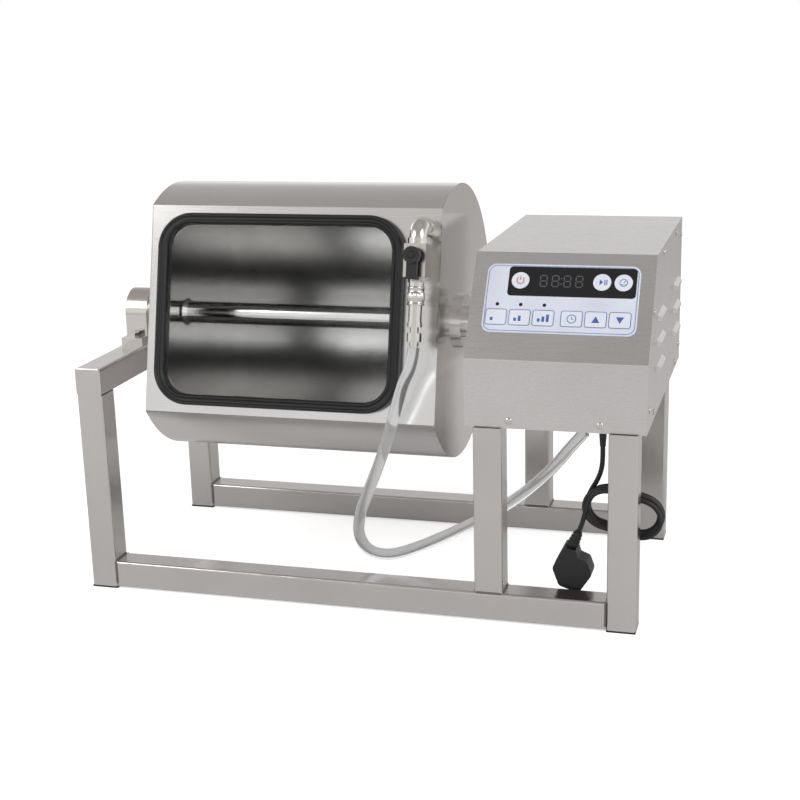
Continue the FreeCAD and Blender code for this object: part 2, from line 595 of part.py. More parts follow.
on_axis(group(*[bolt("block_foot", y, z, "z") for y, z in BLOCK_BOLTS],
              *[bolt("flange_t", y, z, "x") for y, z in FLANGE_BOLTS]), "bearing_bolts")

# --- drive, pump and electrics inside the box -------------------------------------------
AXIS_IN = ("axis_y - box_front", "axis_z - leg_top")
MOTOR_X = "sheet_t + gear_long / 2"
MOTOR_Y = AXIS_IN[0] + " + gear_deep / 2"
node(cut(fuse(box("gear_long", "gear_deep", "gear_high", "sheet_t", AXIS_IN[0] + " - gear_deep / 2",
                  AXIS_IN[1] + " - gear_high / 2"),
              rod("motor_r", "motor_long", MOTOR_X + " + motor_r - gear_long / 2", MOTOR_Y, AXIS_IN[1], "y"),
              rod("motor_r - 4", "motor_cap", MOTOR_X + " + motor_r - gear_long / 2", MOTOR_Y + " + motor_long",
                  AXIS_IN[1], "y")),
         rod("journal_r + run_play", "gear_long + 2", "0", *AXIS_IN, "x")), "gear_motor", *BOX)
node(fuse(box("pump_wide", "pump_deep", "pump_high", "pump_x", "pump_y", "sheet_t"),
          rod("pump_motor_r", "pump_motor_long", "pump_x + pump_wide / 2", "pump_y + pump_deep / 2",
              "sheet_t + pump_high")), "vacuum_pump", *BOX)
node(group(box("supply_wide", "supply_deep", "supply_high", "supply_x", "supply_y", "sheet_t")), "power_supply", *BOX)
# The vacuum port under the base: a nut, a round body and a barb that leans to the hose.
barb = turn(fuse(rod("port_r - 1", "port_long", z="-port_long"),
                 rod("port_r - 0.2", "2", z="-port_long + 4")),
            (0, 1, 0), "port_lean")
move(barb, "port_x", "port_y", "-port_nut_t - port_drop")
node(fuse(hexagon("port_nut_r", "port_nut_t", "port_x", "port_y", "-port_nut_t"), barb,
          rod("port_r", "port_nut_t + port_drop", "port_x", "port_y", "-port_nut_t - port_drop"),
          rod("port_r", "sheet_t", "port_x", "port_y"),
          hexagon("port_nut_r", "port_nut_t", "port_x", "port_y", "sheet_t")), "vacuum_port", *BOX)


# --- hose and mains lead ------------------------------------------------------------------
def spot(x, y, z):
    """A point given in machine coordinates, moved to the part's own origin."""
    return Vector(x - val("(box_x + box_wide + louvre_out) / 2"),
                  y - val("(box_front + box_deep + screw_high) / 2"), z + val("cap_thick"))


def route_wire(points):
    """Straight runs joined by tangent arcs, as large as each pair of runs allows."""
    runs = [(b - a).Length for a, b in zip(points, points[1:])]
    edges, here, radii = [], points[0], []
    for i in range(1, len(points) - 1):
        back = (points[i - 1] - points[i]).normalize()
        ahead = (points[i + 1] - points[i]).normalize()
        opening = back.getAngle(ahead)
        reach = 0.45 * min(runs[i - 1], runs[i])
        radius = reach * math.tan(opening / 2)
        radii.append(radius)
        start, end = points[i] + back * reach, points[i] + ahead * reach
        centre = points[i] + (back + ahead).normalize() * (radius / math.sin(opening / 2))
        middle = centre + (points[i] - centre).normalize() * radius
        edges.append(Part.LineSegment(here, start).toShape())
        edges.append(Part.Arc(start, middle, end).toShape())
        here = end
    edges.append(Part.LineSegment(here, points[-1]).toShape())
    return Part.Wire(edges), radii


def flex(label, points, radius, hollow=0):
    """A cord or hose along its route; its volume is compared with section times length."""
    wire, radii = route_wire([spot(*p) for p in points])
    start = spot(*points[0])
    ahead = spot(*points[1]) - start
    outline = Part.Wire([Part.makeCircle(radius, start, ahead)])
    solid = wire.makePipeShell([outline], True, False)
    item = DOC.addObject("Part::Feature", label)
    item.Shape = solid
    item.Label = label
    NODES.append(item)
    print("%s: length %.0f, volume ratio %.4f, radii %s" % (
        label, wire.Length, solid.Volume / (math.pi * radius ** 2 * wire.Length),
        " ".join("%.0f" % r for r in radii)))
    return item


def face_spot(x, out, up):
    """A place on the tilted drum face in machine coordinates."""
    lean = math.radians(val("tilt"))
    return (x, val("axis_y") - out * math.cos(lean) + up * math.sin(lean),
            val("axis_z") + out * math.sin(lean) + up * math.cos(lean))


BARB_END = val(BARB + " - barb_long")
hose_start = face_spot(val("valve_x"), val("chord + valve_off"), BARB_END - 0.3)
hose_next = face_spot(val("valve_x") - 1.5, val("chord + valve_off"), BARB_END - 20)
HOSE = [hose_start, hose_next, (370, 1.5, 252), (361, 3, 222), (349, 8, 186), (335, 16, 152), (321, 24, 122),
        (308, 34, 94), (303, 43, 66), (312, 52, 45), (334, 58, 40), (359, 61, 48), (386, 65, 60), (416, 69, 75),
        (444, 73, 90), (469, 75, 107), (493, 77, 127), (514, 79, 149)]
LEAN = math.radians(val("port_lean"))
for reach in (20, 0.3):
    HOSE.append((val("box_x + port_x") - (val("port_long") + reach) * math.sin(LEAN), val("box_front + port_y"),
                 val("leg_top - port_nut_t - port_drop") - (val("port_long") + reach) * math.cos(LEAN)))
flex("vacuum_hose", HOSE, val("hose_r"))
node(cut(rod("hose_r + clamp_t + 0.3", "clamp_w", VX, OUT, BARB + " - 6 - clamp_w"),
         rod("barb_r", "clamp_w + 2", VX, OUT, BARB + " - 7 - clamp_w")), "hose_clamp", "drum_x", "axis_y", "axis_z",
     (1, 0, 0), "-tilt")

GLAND = ("box_x + gland_x", "box_front + gland_y", "leg_top")
node(fuse(hexagon("gland_r", "gland_t", z="-gland_t"), rod("relief_r", "sheet_t"),
          cone("cord_r + 0.4", "relief_r", "relief_long", z="-gland_t - relief_long")), "cord_gland", *GLAND)
EXIT_Z = val("leg_top - gland_t - relief_long")
EXIT_X, EXIT_Y = val(GLAND[0]), val(GLAND[1])
HANK = ("hank_x", "hank_y", "hank_z")
DROP = [(EXIT_X, EXIT_Y, EXIT_Z), (EXIT_X + 0.3, EXIT_Y + 0.5, EXIT_Z - 12), (565.5, 53, 152), (562, 53.5, 137),
        (566, 54, 122)]
flex("mains_cord_drop", DROP, val("cord_r"))
owner = body("hank")
outline = sketch(owner, "XZ_Plane", "-hank_deep / 2")
rectangle(outline, "hank_long", "hank_high", "hank_high / 2.2")
rectangle(outline, "hank_long - 2 * hank_band", "hank_high - 2 * hank_band", "hank_high / 2.2 - hank_band")
pad(owner, outline, "hank_deep")
node(owner, "mains_cord_hank", *HANK, (0, 1, 0), "hank_lean")
# The plug: an angled moulded body with a ribbed strain relief and two round pins.
PLUG = ("plug_x", "plug_y", "plug_z")
owner = body("plug")
outline = sketch(owner, "XZ_Plane", "-plug_deep / 2")
loop(outline, [("-8", "24", "2"), ("-20", "0", "7"), ("-13", "-19", "6"), ("8", "-26", "5"), ("22", "-5", "7"),
               ("17", "9", "5"), ("7", "13", "1.5"), ("5", "21", "1.5")])
pad(owner, outline, "plug_deep")
relief = turn(cone("plug_relief_r", "cord_r + 1", "plug_relief"), (0, 1, 0), "plug_lean")
move(relief, "-1.5", "0", "20")
node(fuse(owner, relief), "mains_plug", *PLUG)
TILT = math.radians(val("plug_lean"))
TAIL_X = val("plug_x") - 1.5 + val("plug_relief") * math.sin(TILT)
TAIL_Z = val("plug_z") + 20 + val("plug_relief") * math.cos(TILT)
TAIL = [(TAIL_X, val("plug_y"), TAIL_Z), (TAIL_X + 4, val("plug_y") + 1, TAIL_Z + 8), (556, 50, 102),
        (565, 53, 109)]
flex("mains_cord_tail", TAIL, val("cord_r"))
# A wire tie goes round the right end of the hank's lower strands.
node(fuse(*[box("tie_wide", "hank_deep + 2 * tie_t", "tie_t", "-tie_wide / 2", "-hank_deep / 2 - tie_t", z)
            for z in ("-hank_high / 2 - tie_t", "hank_band - hank_high / 2")],
          *[box("tie_wide", "tie_t", "hank_band + 2 * tie_t", "-tie_wide / 2", y, "-hank_high / 2 - tie_t")
            for y in ("-hank_deep / 2 - tie_t", "hank_deep / 2")]), "cord_tie", *HANK, (0, 1, 0), "hank_lean")

DOC.recompute()
os.makedirs("parts", exist_ok=True)
for item in DOC.Objects:
    if "Invalid" in item.State or "Error" in item.State:
        raise RuntimeError("%s (%s): %s" % (item.Label, item.Name, item.State))
for item in NODES:
    if item.Shape.isNull() or not item.Shape.isValid():
        raise RuntimeError(item.Label + " has no valid shape")
for item in NODES:
    item.Shape.exportStep("parts/%s.step" % item.Label)
print(len(NODES), "nodes")
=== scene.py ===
import math

import bmesh
import bpy
import numpy as np
from mathutils import Matrix, Vector


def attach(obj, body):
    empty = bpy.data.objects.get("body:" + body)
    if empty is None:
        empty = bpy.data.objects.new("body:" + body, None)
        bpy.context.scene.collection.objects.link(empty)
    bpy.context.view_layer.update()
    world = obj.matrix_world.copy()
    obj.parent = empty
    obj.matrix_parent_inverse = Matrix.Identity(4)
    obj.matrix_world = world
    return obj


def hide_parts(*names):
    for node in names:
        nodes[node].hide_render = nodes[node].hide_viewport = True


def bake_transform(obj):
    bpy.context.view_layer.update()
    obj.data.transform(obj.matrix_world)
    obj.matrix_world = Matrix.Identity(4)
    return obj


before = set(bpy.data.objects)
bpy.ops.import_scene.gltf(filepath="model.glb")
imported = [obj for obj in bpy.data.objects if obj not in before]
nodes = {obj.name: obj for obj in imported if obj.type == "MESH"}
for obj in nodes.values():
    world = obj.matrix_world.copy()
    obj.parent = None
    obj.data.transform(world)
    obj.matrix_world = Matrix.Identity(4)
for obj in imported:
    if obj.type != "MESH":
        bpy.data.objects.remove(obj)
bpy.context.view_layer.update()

# --- view ---------------------------------------------------------------------------
# The camera stands in front of the control box, a little above the drum, and looks
# down and to the left across the machine.
CAMERA_PLACE = Vector((0.4555, -1.5479, 0.6291))
CAMERA_YAW, CAMERA_PITCH, CAMERA_ROLL = 0.282, 0.267, -0.027
LENS = 65.57

scene = bpy.context.scene
forward = Vector((-math.sin(CAMERA_YAW) * math.cos(CAMERA_PITCH),
                  math.cos(CAMERA_YAW) * math.cos(CAMERA_PITCH), -math.sin(CAMERA_PITCH)))
level = Vector((math.cos(CAMERA_YAW), math.sin(CAMERA_YAW), 0))
upright = level.cross(forward)
right = level * math.cos(CAMERA_ROLL) + upright * math.sin(CAMERA_ROLL)
up = right.cross(forward)
camera = bpy.data.objects.new("camera", bpy.data.cameras.new("camera"))
camera.data.lens = LENS
camera.matrix_world = Matrix.Translation(CAMERA_PLACE) @ Matrix((right, up, -forward)).transposed().to_4x4()
scene.collection.objects.link(camera)
scene.camera = camera
scene.view_settings.view_transform = "Standard"

# --- studio -------------------------------------------------------------------------
# A white room with a grey ceiling: the ceiling and the floor in front are what the
# steel mirrors. Two soft lamps hang above, left and right.
world = bpy.data.worlds.new("studio")
scene.world = world
world.use_nodes = True
tree = world.node_tree
tree.nodes.clear()


def add(tree, kind, **values):
    """A shader node with its properties and input values set by name."""
    node = tree.nodes.new(kind)
    for name, value in values.items():
        if hasattr(node, name):
            setattr(node, name, value)
        else:
            node.inputs[name.replace("_", " ")].default_value = value
    return node


def ramp(tree, factor, stops):
    """A colour ramp through (position, colour) stops, fed by a socket."""
    node = add(tree, "ShaderNodeValToRGB")
    points = node.color_ramp.elements
    for i, (place, colour) in enumerate(stops):
        point = points[i] if i < 2 else points.new(place)
        point.position = place
        point.color = (*colour, 1)
    tree.links.new(factor, node.inputs[0])
    return node.outputs[0]


place = add(tree, "ShaderNodeTexCoord")
split = add(tree, "ShaderNodeSeparateXYZ")
tree.links.new(place.outputs["Generated"], split.inputs[0])
height = add(tree, "ShaderNodeMapRange", From_Min=-1.0, From_Max=1.0)
tree.links.new(split.outputs["Z"], height.inputs["Value"])
room = ramp(tree, height.outputs[0], [(0.0, (0.55, 0.55, 0.56)), (0.42, (0.78, 0.79, 0.81)),
                                      (0.52, (1.0, 1.0, 1.0)), (0.60, (0.92, 0.92, 0.92)),
                                      (0.68, (0.55, 0.53, 0.52)), (0.9, (0.42, 0.4, 0.39)),
                                      (1.0, (0.5, 0.48, 0.47))])
paths = add(tree, "ShaderNodeLightPath")
seen = add(tree, "ShaderNodeMath", operation="MAXIMUM")
tree.links.new(paths.outputs["Is Camera Ray"], seen.inputs[0])
tree.links.new(paths.outputs["Is Transmission Ray"], seen.inputs[1])
mixed = add(tree, "ShaderNodeMix", data_type="RGBA")
tree.links.new(seen.outputs[0], mixed.inputs["Factor"])
tree.links.new(room, mixed.inputs[6])
mixed.inputs[7].default_value = (1, 1, 1, 1)
glow = add(tree, "ShaderNodeBackground", Strength=1.0)
tree.links.new(mixed.outputs[2], glow.inputs["Color"])
out = add(tree, "ShaderNodeOutputWorld")
tree.links.new(glow.outputs[0], out.inputs[0])


def lamp(name, place, target, width, height, power):
    """A soft area lamp at a place, turned to shine on a target."""
    data = bpy.data.lights.new(name, "AREA")
    data.shape = "RECTANGLE"
    data.size, data.size_y, data.energy = width, height, power
    item = bpy.data.objects.new(name, data)
    item.location = place
    item.rotation_euler = (Vector(target) - Vector(place)).to_track_quat("-Z", "Y").to_euler()
    scene.collection.objects.link(item)


lamp("left_lamp", (-1.6, -1.4, 1.6), (0, 0, 0.2), 1.4, 1.0, 18)
lamp("right_lamp", (1.8, -0.8, 1.5), (0, 0, 0.2), 1.0, 1.0, 14)


def mesh_piece(name, points, faces, material=None, smooth=True):
    """A mesh object at the world origin from arrays of points and faces."""
    mesh = bpy.data.meshes.new(name)
    corners = [tuple(point) for point in np.asarray(points, float)]
    mesh.from_pydata(corners, [], [tuple(int(i) for i in face) for face in faces])
    mesh.polygons.foreach_set("use_smooth", [smooth] * len(mesh.polygons))
    if material:
        mesh.materials.append(material)
    item = bpy.data.objects.new(name, mesh)
    scene.collection.objects.link(item)
    return item


def shader(name, **values):
    """A material with one Principled shader; its sockets are set by name."""
    material = bpy.data.materials.new(name)
    material.use_nodes = True
    principled = material.node_tree.nodes["Principled BSDF"]
    for key, value in values.items():
        principled.inputs[key.replace("_", " ")].default_value = value
    return material, material.node_tree, principled


FLOOR_HALF = 6.0
floor_paint, tree, principled = shader("floor_paint", Base_Color=(0.86, 0.86, 0.86, 1), Roughness=0.9)
paths = add(tree, "ShaderNodeLightPath")
lift = add(tree, "ShaderNodeMath", operation="MULTIPLY")
lift.inputs[1].default_value = 0.6
tree.links.new(paths.outputs["Is Camera Ray"], lift.inputs[0])
principled.inputs["Emission Color"].default_value = (1, 1, 1, 1)
tree.links.new(lift.outputs[0], principled.inputs["Emission Strength"])
corners = np.array([[-1, -1], [1, -1], [1, 1], [-1, 1]]) * FLOOR_HALF
floor = mesh_piece("floor", [(x, y, 0) for x, y in corners], [(0, 1, 2, 3)], floor_paint, False)

# --- steel --------------------------------------------------------------------------
# The frame, the box and the drum are stainless: brushed along each tube, finely
# brushed along the box and the drum, polished on the drum's ends.
def group_tree(name, inputs, outputs):
    """An empty node group with named sockets; returns its tree and both end nodes."""
    group = bpy.data.node_groups.new(name, "ShaderNodeTree")
    for label, kind, value in inputs:
        socket = group.interface.new_socket(label, in_out="INPUT", socket_type=kind)
        socket.default_value = value
    for label, kind in outputs:
        group.interface.new_socket(label, in_out="OUTPUT", socket_type=kind)
    return group, group.nodes.new("NodeGroupInput"), group.nodes.new("NodeGroupOutput")


brush, ends_in, ends_out = group_tree(
    "brush_lines", [("Stretch", "NodeSocketVector", (30, 900, 900)), ("Depth", "NodeSocketFloat", 0.3),
                    ("Rough", "NodeSocketFloat", 0.3), ("Spread", "NodeSocketFloat", 0.1),
                    ("Colour", "NodeSocketColor", (0.6, 0.6, 0.6, 1))],
    [("Colour", "NodeSocketColor"), ("Rough", "NodeSocketFloat"), ("Normal", "NodeSocketVector")])
place = add(brush, "ShaderNodeTexCoord")
stretch = add(brush, "ShaderNodeVectorMath", operation="MULTIPLY")
brush.links.new(place.outputs["Object"], stretch.inputs[0])
brush.links.new(ends_in.outputs["Stretch"], stretch.inputs[1])
lines = add(brush, "ShaderNodeTexNoise", Scale=1.0, Detail=3.0, Roughness=0.6)
brush.links.new(stretch.outputs[0], lines.inputs["Vector"])
cloud = add(brush, "ShaderNodeTexNoise", Scale=9.0, Detail=2.0)
brush.links.new(place.outputs["Object"], cloud.inputs["Vector"])
bump = add(brush, "ShaderNodeBump", Distance=0.0004)
brush.links.new(lines.outputs[0], bump.inputs["Height"])
brush.links.new(ends_in.outputs["Depth"], bump.inputs["Strength"])
brush.links.new(bump.outputs[0], ends_out.inputs["Normal"])
rough = add(brush, "ShaderNodeMath", operation="MULTIPLY_ADD")
centred = add(brush, "ShaderNodeMath", operation="SUBTRACT")
centred.inputs[1].default_value = 0.5
brush.links.new(lines.outputs[0], centred.inputs[0])
brush.links.new(centred.outputs[0], rough.inputs[0])
brush.links.new(ends_in.outputs["Spread"], rough.inputs[1])
brush.links.new(ends_in.outputs["Rough"], rough.inputs[2])
brush.links.new(rough.outputs[0], ends_out.inputs["Rough"])
shade = add(brush, "ShaderNodeMapRange", To_Min=0.9, To_Max=1.08)
brush.links.new(cloud.outputs[0], shade.inputs["Value"])
tint = add(brush, "ShaderNodeVectorMath", operation="SCALE")
brush.links.new(ends_in.outputs["Colour"], tint.inputs[0])
brush.links.new(shade.outputs[0], tint.inputs["Scale"])
brush.links.new(tint.outputs[0], ends_out.inputs["Colour"])


def steel(name, stretch, colour, rough, depth=0.25, spread=0.12):
    """Brushed steel; the brush lines run along the axis with the small stretch."""
    material, tree, principled = shader(name, Metallic=1.0)
    lines = add(tree, "ShaderNodeGroup")
    lines.node_tree = brush
    lines.inputs["Stretch"].default_value = stretch
    lines.inputs["Depth"].default_value = depth
    lines.inputs["Rough"].default_value = rough
    lines.inputs["Spread"].default_value = spread
    lines.inputs["Colour"].default_value = (*colour, 1)
    tree.links.new(lines.outputs["Colour"], principled.inputs["Base Color"])
    tree.links.new(lines.outputs["Rough"], principled.inputs["Roughness"])
    tree.links.new(lines.outputs["Normal"], principled.inputs["Normal"])
    return material


ACROSS, ALONG = 900, 25
FRAME_STEEL = (0.62, 0.60, 0.59)
steel_x = steel("tube_steel_x", (ALONG, ACROSS, ACROSS), FRAME_STEEL, 0.22)
steel_y = steel("tube_steel_y", (ACROSS, ALONG, ACROSS), FRAME_STEEL, 0.22)
steel_z = steel("tube_steel_z", (ACROSS, ACROSS, ALONG), FRAME_STEEL, 0.22)
box_steel = steel("box_steel", (ALONG, ACROSS, ACROSS), (0.66, 0.65, 0.645), 0.28)
drum_steel = steel("drum_steel", (ALONG, ACROSS, ACROSS), (0.72, 0.71, 0.70), 0.2, 0.12)
end_steel = steel("end_steel", (ACROSS, ACROSS, ALONG), (0.7, 0.69, 0.68), 0.12, 0.08)
shaft_steel = steel("shaft_steel", (ACROSS, ALONG, ALONG), (0.75, 0.74, 0.73), 0.12, 0.1)


def finish_node(material, *names):
    for name in names:
        mesh = nodes[name].data
        mesh.materials.clear()
        mesh.materials.append(material)


finish_node(steel_z, "front_left_leg", "back_left_leg", "front_mid_leg", "back_mid_leg", "front_right_leg",
            "back_right_leg")
finish_node(steel_x, "front_rail", "back_rail")
finish_node(steel_y, "left_top_beam")
finish_node(box_steel, "bent_cover", "left_side_panel", "right_side_panel", "base_tray", "back_panel")
finish_node(drum_steel, "drum_shell", "drum_face")
finish_node(end_steel, "drum_left_end", "drum_right_end")
finish_node(shaft_steel, "centre_shaft", "shaft_hubs")

# --- rubber, plastics and small metal -------------------------------------------------
# Moulded and printed surfaces share a fine grain with slow patches of gloss and shade.
grain, ends_in, ends_out = group_tree(
    "fine_grain", [("Size", "NodeSocketFloat", 900.0), ("Depth", "NodeSocketFloat", 0.2),
                   ("Rough", "NodeSocketFloat", 0.4), ("Colour", "NodeSocketColor", (0.5, 0.5, 0.5, 1))],
    [("Colour", "NodeSocketColor"), ("Rough", "NodeSocketFloat"), ("Normal", "NodeSocketVector")])
place = add(grain, "ShaderNodeTexCoord")
fine = add(grain, "ShaderNodeTexNoise", Detail=4.0)
grain.links.new(place.outputs["Object"], fine.inputs["Vector"])
grain.links.new(ends_in.outputs["Size"], fine.inputs["Scale"])
patch = add(grain, "ShaderNodeTexNoise", Scale=28.0, Detail=3.0)
grain.links.new(place.outputs["Object"], patch.inputs["Vector"])
bump = add(grain, "ShaderNodeBump", Distance=0.0002)
grain.links.new(fine.outputs[0], bump.inputs["Height"])
grain.links.new(ends_in.outputs["Depth"], bump.inputs["Strength"])
grain.links.new(bump.outputs[0], ends_out.inputs["Normal"])
gloss = add(grain, "ShaderNodeMapRange", To_Min=-0.1, To_Max=0.1)
grain.links.new(patch.outputs[0], gloss.inputs["Value"])
rough = add(grain, "ShaderNodeMath", operation="ADD")
grain.links.new(gloss.outputs[0], rough.inputs[0])
grain.links.new(ends_in.outputs["Rough"], rough.inputs[1])
grain.links.new(rough.outputs[0], ends_out.inputs["Rough"])
shade = add(grain, "ShaderNodeMapRange", To_Min=0.88, To_Max=1.1)
grain.links.new(patch.outputs[0], shade.inputs["Value"])
tint = add(grain, "ShaderNodeVectorMath", operation="SCALE")
grain.links.new(ends_in.outputs["Colour"], tint.inputs[0])
grain.links.new(shade.outputs[0], tint.inputs["Scale"])
grain.links.new(tint.outputs[0], ends_out.inputs["Colour"])


def moulded(name, colour, rough, size=900.0, depth=0.2, **values):
    """Rubber, plastic, film or ink with the fine grain; size is grains per metre."""
    material, tree, principled = shader(name, **values)
    skin = add(tree, "ShaderNodeGroup")
    skin.node_tree = grain
    skin.inputs["Size"].default_value = size
    skin.inputs["Depth"].default_value = depth
    skin.inputs["Rough"].default_value = rough
    skin.inputs["Colour"].default_value = (*colour, 1)
    tree.links.new(skin.outputs["Colour"], principled.inputs["Base Color"])
    tree.links.new(skin.outputs["Rough"], principled.inputs["Roughness"])
    tree.links.new(skin.outputs["Normal"], principled.inputs["Normal"])
    return material


rubber = moulded("black_rubber", (0.010, 0.010, 0.011), 0.42, 1200.0, 0.35)
finish_node(rubber, "lid_rim", "foot_caps")
black = moulded("black_plastic", (0.012, 0.012, 0.013), 0.45, 1500.0, 0.3)
finish_node(black, "valve_lever", "mains_plug", "cord_gland", "cord_tie", "mains_cord_drop", "mains_cord_tail",
            "mains_cord_hank")
plated = steel("plated_brass", (300, 300, 300), (0.68, 0.66, 0.63), 0.2, 0.1)
finish_node(plated, "elbow", "valve_body", "coupler_socket", "coupler_sleeve", "coupler_plug", "hose_clamp",
            "vacuum_port", "panel_screws", "bearing_bolts", "bearing_inserts", "flange_bearing_housing",
            "pillow_block", "gear_motor", "vacuum_pump", "power_supply")
clear = moulded("clear_acrylic", (0.97, 0.98, 0.98), 0.1, 60.0, 0.02, Transmission_Weight=1.0, IOR=1.1)
finish_node(clear, "lid_pane")
hose_pvc = moulded("clear_pvc", (0.93, 0.94, 0.95), 0.14, 200.0, 0.05, Transmission_Weight=0.9, IOR=1.3)
finish_node(hose_pvc, "vacuum_hose")
film = moulded("overlay_film", (0.72, 0.76, 0.87), 0.35, 3000.0, 0.08)
finish_node(film, "keypad_overlay")
key_film = moulded("key_film", (0.78, 0.82, 0.9), 0.32, 3000.0, 0.08)
finish_node(key_film, "power_key", "start_stop_key", "vacuum_key", "low_speed_key", "mid_speed_key",
            "high_speed_key", "timer_key", "up_key", "down_key")
lens = moulded("dark_lens", (0.008, 0.008, 0.010), 0.2, 2000.0, 0.03)
finish_node(lens, "display_lens", "display_and_lamps", "control_board")

# --- places on the machine ------------------------------------------------------------
# Lengths below are in millimetres from the front left foot, as in the CAD source.
ORIGIN = (311.0, 168.9, -2.0)
AXIS_Y, AXIS_Z = 153, 285
BOX_X, BOX_Y, BOX_FOOT = 433, 3.5, 209
SLOPE_FOOT = 280
TILT = math.radians(14.2)
SLOPE = math.atan2(97.0, 67.5)


def spot(points):
    """Millimetres from the front left foot to metres about the part's own origin."""
    return (np.asarray(points, float) - ORIGIN) / 1000


def on_face(x, out, up):
    """World points for x along the drum, out of its shaft line and up its face."""
    x, out, up = np.broadcast_arrays(np.asarray(x, float), out, up)
    return spot(np.stack([x, AXIS_Y - out * math.cos(TILT) + up * math.sin(TILT),
                          AXIS_Z + out * math.sin(TILT) + up * math.cos(TILT)], -1))


def on_slope(x, up, out):
    """World points for x along the box, up its slope and out of it."""
    x, up, out = np.broadcast_arrays(np.asarray(x, float), up, out)
    return spot(np.stack([BOX_X + x, BOX_Y + up * math.cos(SLOPE) - out * math.sin(SLOPE),
                          SLOPE_FOOT + up * math.sin(SLOPE) + out * math.cos(SLOPE)], -1))


def wrap(name, grid, material, body, round_u=False, smooth=True):
    """A closed skin over a grid of points; v closes on itself and u does so if asked."""
    count_u, count_v = grid.shape[:2]
    u = np.arange(count_u if round_u else count_u - 1)[:, None]
    v = np.arange(count_v)[None, :]
    u_next, v_next = (u + 1) % count_u, (v + 1) % count_v
    faces = np.stack([u * count_v + v, u * count_v + v_next, u_next * count_v + v_next,
                      u_next * count_v + v], -1).reshape(-1, 4).tolist()
    if not round_u:
        faces += [list(range(count_v))[::-1], list(range((count_u - 1) * count_v, count_u * count_v))]
    item = mesh_piece(name, grid.reshape(-1, 3), faces, material, smooth)
    outward = bmesh.new()
    outward.from_mesh(item.data)
    bmesh.ops.recalc_face_normals(outward, faces=outward.faces)
    outward.to_mesh(item.data)
    outward.free()
    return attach(item, body)


def bead_chain(name, starts, ends, radius, body, material):
    """Weld beads: each is a tube whose radius swells and narrows along its line."""
    points, faces = [], []
    t = np.linspace(0, 1, 61)[:, None, None]
    angle = np.linspace(0, 2 * np.pi, 9)[None, :-1, None]
    for start, end in zip(np.asarray(starts, float), np.asarray(ends, float)):
        axis = (end - start) / np.linalg.norm(end - start)
        side = np.cross(axis, (0.3, 0.5, 0.8))
        side /= np.linalg.norm(side)
        swell = radius * (0.75 + 0.25 * np.abs(np.sin(t * np.linalg.norm(end - start) * 1.1)))
        swell = swell * np.clip(np.minimum(t, 1 - t) * 25, 0.05, 1)
        spoke = np.cos(angle) * side + np.sin(angle) * np.cross(axis, side)
        grid = start + (end - start) * t + swell * spoke
        first = len(points) * 61 * 8
        u, v = np.arange(60)[:, None], np.arange(8)[None, :]
        faces += (np.stack([u * 8 + v, u * 8 + (v + 1) % 8, (u + 1) * 8 + (v + 1) % 8, (u + 1) * 8 + v], -1)
                  .reshape(-1, 4) + first).tolist()
        faces += [[first + i for i in range(7, -1, -1)], [first + 480 + i for i in range(8)]]
        points.append(grid.reshape(-1, 3))
    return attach(mesh_piece(name, spot(np.concatenate(points)), faces, material), body)


# --- lid rim ----------------------------------------------------------------------------
# The rubber rim is one profile with two ridges, carried round the mouth's rounded
# rectangle: each profile point keeps its own distance outside the mouth.
PROFILE = np.array([
    (0.2, 0.3), (0.2, 10.4), (0.8, 11.7), (1.5, 12.2), (2.0, 13.5), (2.8, 13.8), (3.6, 13.5),
    (4.1, 12.2), (5.2, 11.5), (6.8, 11.5), (7.9, 12.2), (8.4, 13.5), (9.2, 13.8), (10.0, 13.5),
    (10.5, 12.2), (11.3, 11.7), (11.9, 10.4), (12.0, 1.2), (11.4, 0.3)])
MOUTH_WIDE, MOUTH_HIGH, MOUTH_ROUND, MOUTH_X = 252.5, 184, 26, 218.25
CHORD = 100.5
turns = np.concatenate([np.linspace(k * 90, k * 90 + 90, 14) for k in range(4)]) * math.pi / 180
corner_x = np.repeat([1, -1, -1, 1], 14) * (MOUTH_WIDE / 2 - MOUTH_ROUND)
corner_up = np.repeat([1, 1, -1, -1], 14) * (MOUTH_HIGH / 2 - MOUTH_ROUND)
reach = MOUTH_ROUND + PROFILE[None, :, 0]
ring = on_face(MOUTH_X + corner_x[:, None] + reach * np.cos(turns)[:, None], CHORD + PROFILE[None, :, 1],
               corner_up[:, None] + reach * np.sin(turns)[:, None])
rim = wrap("ribbed_rim", ring, rubber, "lid", round_u=True)
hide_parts("lid_rim")

# --- welds ------------------------------------------------------------------------------
# Rippled beads run where the mid legs stand on the rails and where the rails meet the
# corner legs.
weld_dark = steel("weld_metal", (700, 700, 700), (0.2, 0.18, 0.17), 0.4, 0.6, 0.3)
starts, ends = [], []
for y in (0.2, 30.2, 275.8, 305.8):
    starts += [(443, y, 30.2), (31, y, 30.1), (579, y, 30.1)]
    ends += [(471, y, 30.2), (31, y, 3), (579, y, 3)]
for y in (1, 277):
    starts += [(442.2, y, 30.4), (471.8, y, 30.4), (30.2, y + 1, 30.2), (579.8, y + 1, 30.2)]
    ends += [(442.2, y + 28, 30.4), (471.8, y + 28, 30.4), (30.2, y + 27, 30.2), (579.8, y + 27, 30.2)]
bead_chain("weld_beads", starts, ends, 1.3, "frame", weld_dark)

